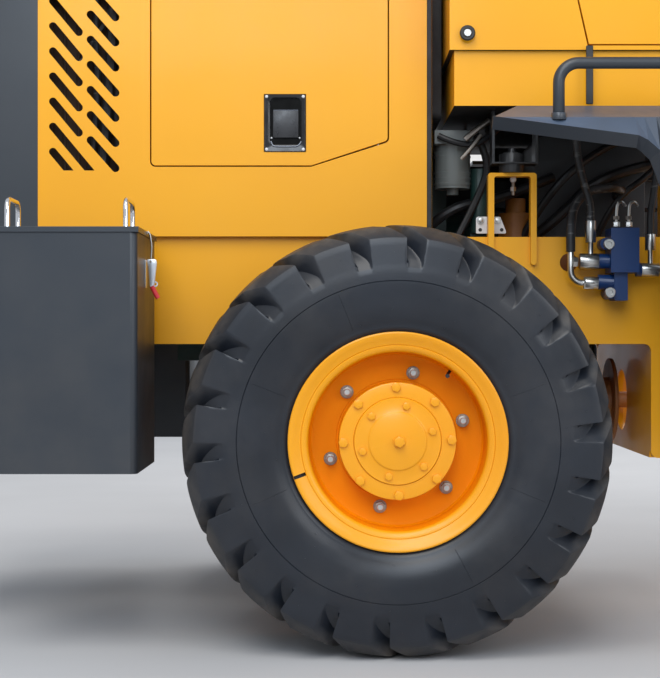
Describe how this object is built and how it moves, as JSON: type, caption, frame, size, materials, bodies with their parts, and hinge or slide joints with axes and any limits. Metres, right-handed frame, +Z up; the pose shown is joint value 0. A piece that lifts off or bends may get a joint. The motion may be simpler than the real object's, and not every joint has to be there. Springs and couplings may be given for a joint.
{
  "type": "articulated wheel loader",
  "caption": "Articulated wheel loader with a front bucket on a lifting boom, a cab with doors, hinged engine doors and side boxes with lids, and lugged tyres.",
  "frame": {"origin": "under the middle of the machine's length and width, on the ground", "axes": "+X forward toward the bucket, +Y to the driver's left, +Z up"},
  "size_m": [5.7748, 2.1, 3.0147],
  "materials": {
    "yellow_paint": "gloss",
    "rim_paint": "gloss",
    "grey_paint": "satin",
    "box_paint": "satin",
    "green_paint": "satin",
    "orange_cast": "satin",
    "blue_paint": "gloss",
    "white_paint": "gloss",
    "tyre_rubber": "matte",
    "hose_rubber": "matte",
    "window_glass": "gloss",
    "black_plastic": "matte",
    "seat_fabric": "matte",
    "chrome_rod": "polished",
    "lamp_plastic": "gloss",
    "steel_edge": "satin"
  },
  "bodies": {
    "rear": {"rear_frame": "yellow_paint", "rear_axle_housing": "yellow_paint", "transmission": "orange_cast", "engine": "green_paint", "hood": "yellow_paint", "rear_cowl": "grey_paint", "radiator": "grey_paint", "counterweight": "box_paint", "side_boxes": "box_paint", "platforms": "grey_paint", "handrails": "grey_paint", "steering_valve": "blue_paint", "fuel_filter": "white_paint", "cab_base": "yellow_paint", "cab_frame": "yellow_paint", "cab_roof": "yellow_paint", "cab_windows": "window_glass", "seat_base": "grey_paint", "seat_cushion": "seat_fabric", "controls": "black_plastic", "exhaust_stack": "grey_paint", "air_intake": "grey_paint", "rear_lamps": "lamp_plastic", "cab_mounts": "hose_rubber", "hydraulic_tank": "grey_paint", "hydraulic_hoses": "hose_rubber", "hose_fittings": "steel_edge"},
    "front": {"front_frame": "yellow_paint", "front_axle_housing": "yellow_paint", "front_propshaft": "grey_paint", "front_fenders": "yellow_paint", "front_lamps": "grey_paint"},
    "boom": {"boom": "yellow_paint"},
    "bucket": {"bucket": "yellow_paint"},
    "tilt_lever": {"tilt_lever": "yellow_paint"},
    "tilt_link": {"tilt_link": "yellow_paint"},
    "tilt_barrel": {"tilt_barrel": "yellow_paint"},
    "tilt_rod": {"tilt_rod": "chrome_rod"},
    "lift_barrels": {"lift_barrels": "yellow_paint"},
    "lift_rods": {"lift_rods": "chrome_rod"},
    "steer_barrel_right": {"steer_barrel_right": "yellow_paint"},
    "steer_rod_right": {"steer_rod_right": "chrome_rod"},
    "cab_door_right": {"cab_door_right": "yellow_paint", "cab_door_glass_right": "window_glass"},
    "engine_door_right": {"engine_door_right": "yellow_paint"},
    "box_lid_right": {"box_lid_right": "box_paint"},
    "wheel_rear_right": {"tyre_rear_right": "tyre_rubber", "rim_rear_right": "rim_paint"},
    "wheel_front_right": {"tyre_front_right": "tyre_rubber", "rim_front_right": "rim_paint"},
    "steer_barrel_left": {"steer_barrel_left": "yellow_paint"},
    "steer_rod_left": {"steer_rod_left": "chrome_rod"},
    "cab_door_left": {"cab_door_left": "yellow_paint", "cab_door_glass_left": "window_glass"},
    "engine_door_left": {"engine_door_left": "yellow_paint"},
    "box_lid_left": {"box_lid_left": "box_paint"},
    "wheel_rear_left": {"tyre_rear_left": "tyre_rubber", "rim_rear_left": "rim_paint"},
    "wheel_front_left": {"tyre_front_left": "tyre_rubber", "rim_front_left": "rim_paint"}
  },
  "joints": [
    {"name": "articulation", "type": "hinge", "parent": "rear", "child": "front", "pos_m": [-0.26741, 0, 1.11768], "axis": [0, 0, 1], "range_deg": [-35, 35]},
    {"name": "wheel_rear_right", "type": "hinge", "parent": "rear", "child": "wheel_rear_right", "pos_m": [-1.41741, -0.81, 0.56468], "axis": [0, 1, 0], "continuous": true},
    {"name": "wheel_rear_left", "type": "hinge", "parent": "rear", "child": "wheel_rear_left", "pos_m": [-1.41741, 0.81, 0.56468], "axis": [0, 1, 0], "continuous": true},
    {"name": "wheel_front_right", "type": "hinge", "parent": "front", "child": "wheel_front_right", "pos_m": [0.88259, -0.81, 0.56468], "axis": [0, 1, 0], "continuous": true},
    {"name": "wheel_front_left", "type": "hinge", "parent": "front", "child": "wheel_front_left", "pos_m": [0.88259, 0.81, 0.56468], "axis": [0, 1, 0], "continuous": true},
    {"name": "boom_lift", "type": "hinge", "parent": "front", "child": "boom", "pos_m": [0.21259, 0, 1.59468], "axis": [0, -1, 0], "range_deg": [0, 78]},
    {"name": "bucket_tilt", "type": "hinge", "parent": "boom", "child": "bucket", "pos_m": [2.02741, 0, 0.26468], "axis": [0, 1, 0], "range_deg": [-40, 120]},
    {"name": "tilt_lever_turn", "type": "hinge", "parent": "boom", "child": "tilt_lever", "pos_m": [1.09983, 0, 0.94446], "axis": [0, 1, 0], "range_deg": [-40.1, 120.1]},
    {"name": "tilt_link_turn", "type": "hinge", "parent": "tilt_lever", "child": "tilt_link", "pos_m": [1.07472, 0, 1.30358], "axis": [0, 1, 0], "range_deg": [-120.1, 40.1]},
    {"name": "tilt_barrel_turn", "type": "hinge", "parent": "boom", "child": "tilt_barrel", "pos_m": [0.2917, 0, 1.31354], "axis": [0, 1, 0], "range_deg": [-3.91, 1.37]},
    {"name": "tilt_rod_slide", "type": "slide", "parent": "tilt_barrel", "child": "tilt_rod", "axis": [0.9277, 0, -0.3732], "range_m": [-0.043, 0.128]},
    {"name": "lift_barrels_turn", "type": "hinge", "parent": "front", "child": "lift_barrels", "pos_m": [0.1094, 0, 0.65031], "axis": [0, -1, 0], "range_deg": [-0.1, 11.07]},
    {"name": "lift_rods_slide", "type": "slide", "parent": "lift_barrels", "child": "lift_rods", "axis": [0.5154, 0, 0.8569], "range_m": [-0.0005, 0.4756]},
    {"name": "steer_barrel_left_turn", "type": "hinge", "parent": "rear", "child": "steer_barrel_left", "pos_m": [-0.90741, 0.35, 0.91468], "axis": [0, 0, 1], "range_deg": [-5.82, 5.82]},
    {"name": "steer_rod_left_slide", "type": "slide", "parent": "steer_barrel_left", "child": "steer_rod_left", "axis": [0.998, -0.0632, 0], "range_m": [-0.1861, 0.1861]},
    {"name": "steer_barrel_right_turn", "type": "hinge", "parent": "rear", "child": "steer_barrel_right", "pos_m": [-0.90741, -0.35, 0.91468], "axis": [0, 0, 1], "range_deg": [-5.82, 5.82]},
    {"name": "steer_rod_right_slide", "type": "slide", "parent": "steer_barrel_right", "child": "steer_rod_right", "axis": [0.998, 0.0632, 0], "range_m": [-0.1861, 0.1861]},
    {"name": "cab_door_right_swing", "type": "hinge", "parent": "rear", "child": "cab_door_right", "pos_m": [-0.93741, -0.638, 1.64268], "axis": [0, 0, -1], "range_deg": [0, 90]},
    {"name": "engine_door_right_swing", "type": "hinge", "parent": "rear", "child": "engine_door_right", "pos_m": [-1.76241, -0.513, 1.85668], "axis": [-1, 0, 0], "range_deg": [0, 70]},
    {"name": "box_lid_right_swing", "type": "hinge", "parent": "rear", "child": "box_lid_right", "pos_m": [-2.51341, -0.7835, 1.10598], "axis": [0, -1, 0], "range_deg": [0, 100]},
    {"name": "cab_door_left_swing", "type": "hinge", "parent": "rear", "child": "cab_door_left", "pos_m": [-0.93741, 0.638, 1.64268], "axis": [0, 0, 1], "range_deg": [0, 90]},
    {"name": "engine_door_left_swing", "type": "hinge", "parent": "rear", "child": "engine_door_left", "pos_m": [-1.76241, 0.513, 1.85668], "axis": [1, 0, 0], "range_deg": [0, 70]},
    {"name": "box_lid_left_swing", "type": "hinge", "parent": "rear", "child": "box_lid_left", "pos_m": [-2.51341, 0.7835, 1.10598], "axis": [0, -1, 0], "range_deg": [0, 100]}
  ],
  "couplings": [
    {"joint": "tilt_lever_turn", "follows": "bucket_tilt", "ratio": 1},
    {"joint": "tilt_link_turn", "follows": "bucket_tilt", "ratio": -1},
    {"joint": "tilt_barrel_turn", "follows": "bucket_tilt", "ratio": -0.031753},
    {"joint": "tilt_rod_slide", "follows": "bucket_tilt", "m_per_rad": 0.060893},
    {"joint": "lift_barrels_turn", "follows": "boom_lift", "ratio": 0.14067},
    {"joint": "lift_rods_slide", "follows": "boom_lift", "m_per_rad": 0.34897},
    {"joint": "steer_barrel_left_turn", "follows": "articulation", "ratio": 0.16351},
    {"joint": "steer_rod_left_slide", "follows": "articulation", "m_per_rad": -0.30375},
    {"joint": "steer_barrel_right_turn", "follows": "articulation", "ratio": 0.16351},
    {"joint": "steer_rod_right_slide", "follows": "articulation", "m_per_rad": 0.30375}
  ]
}
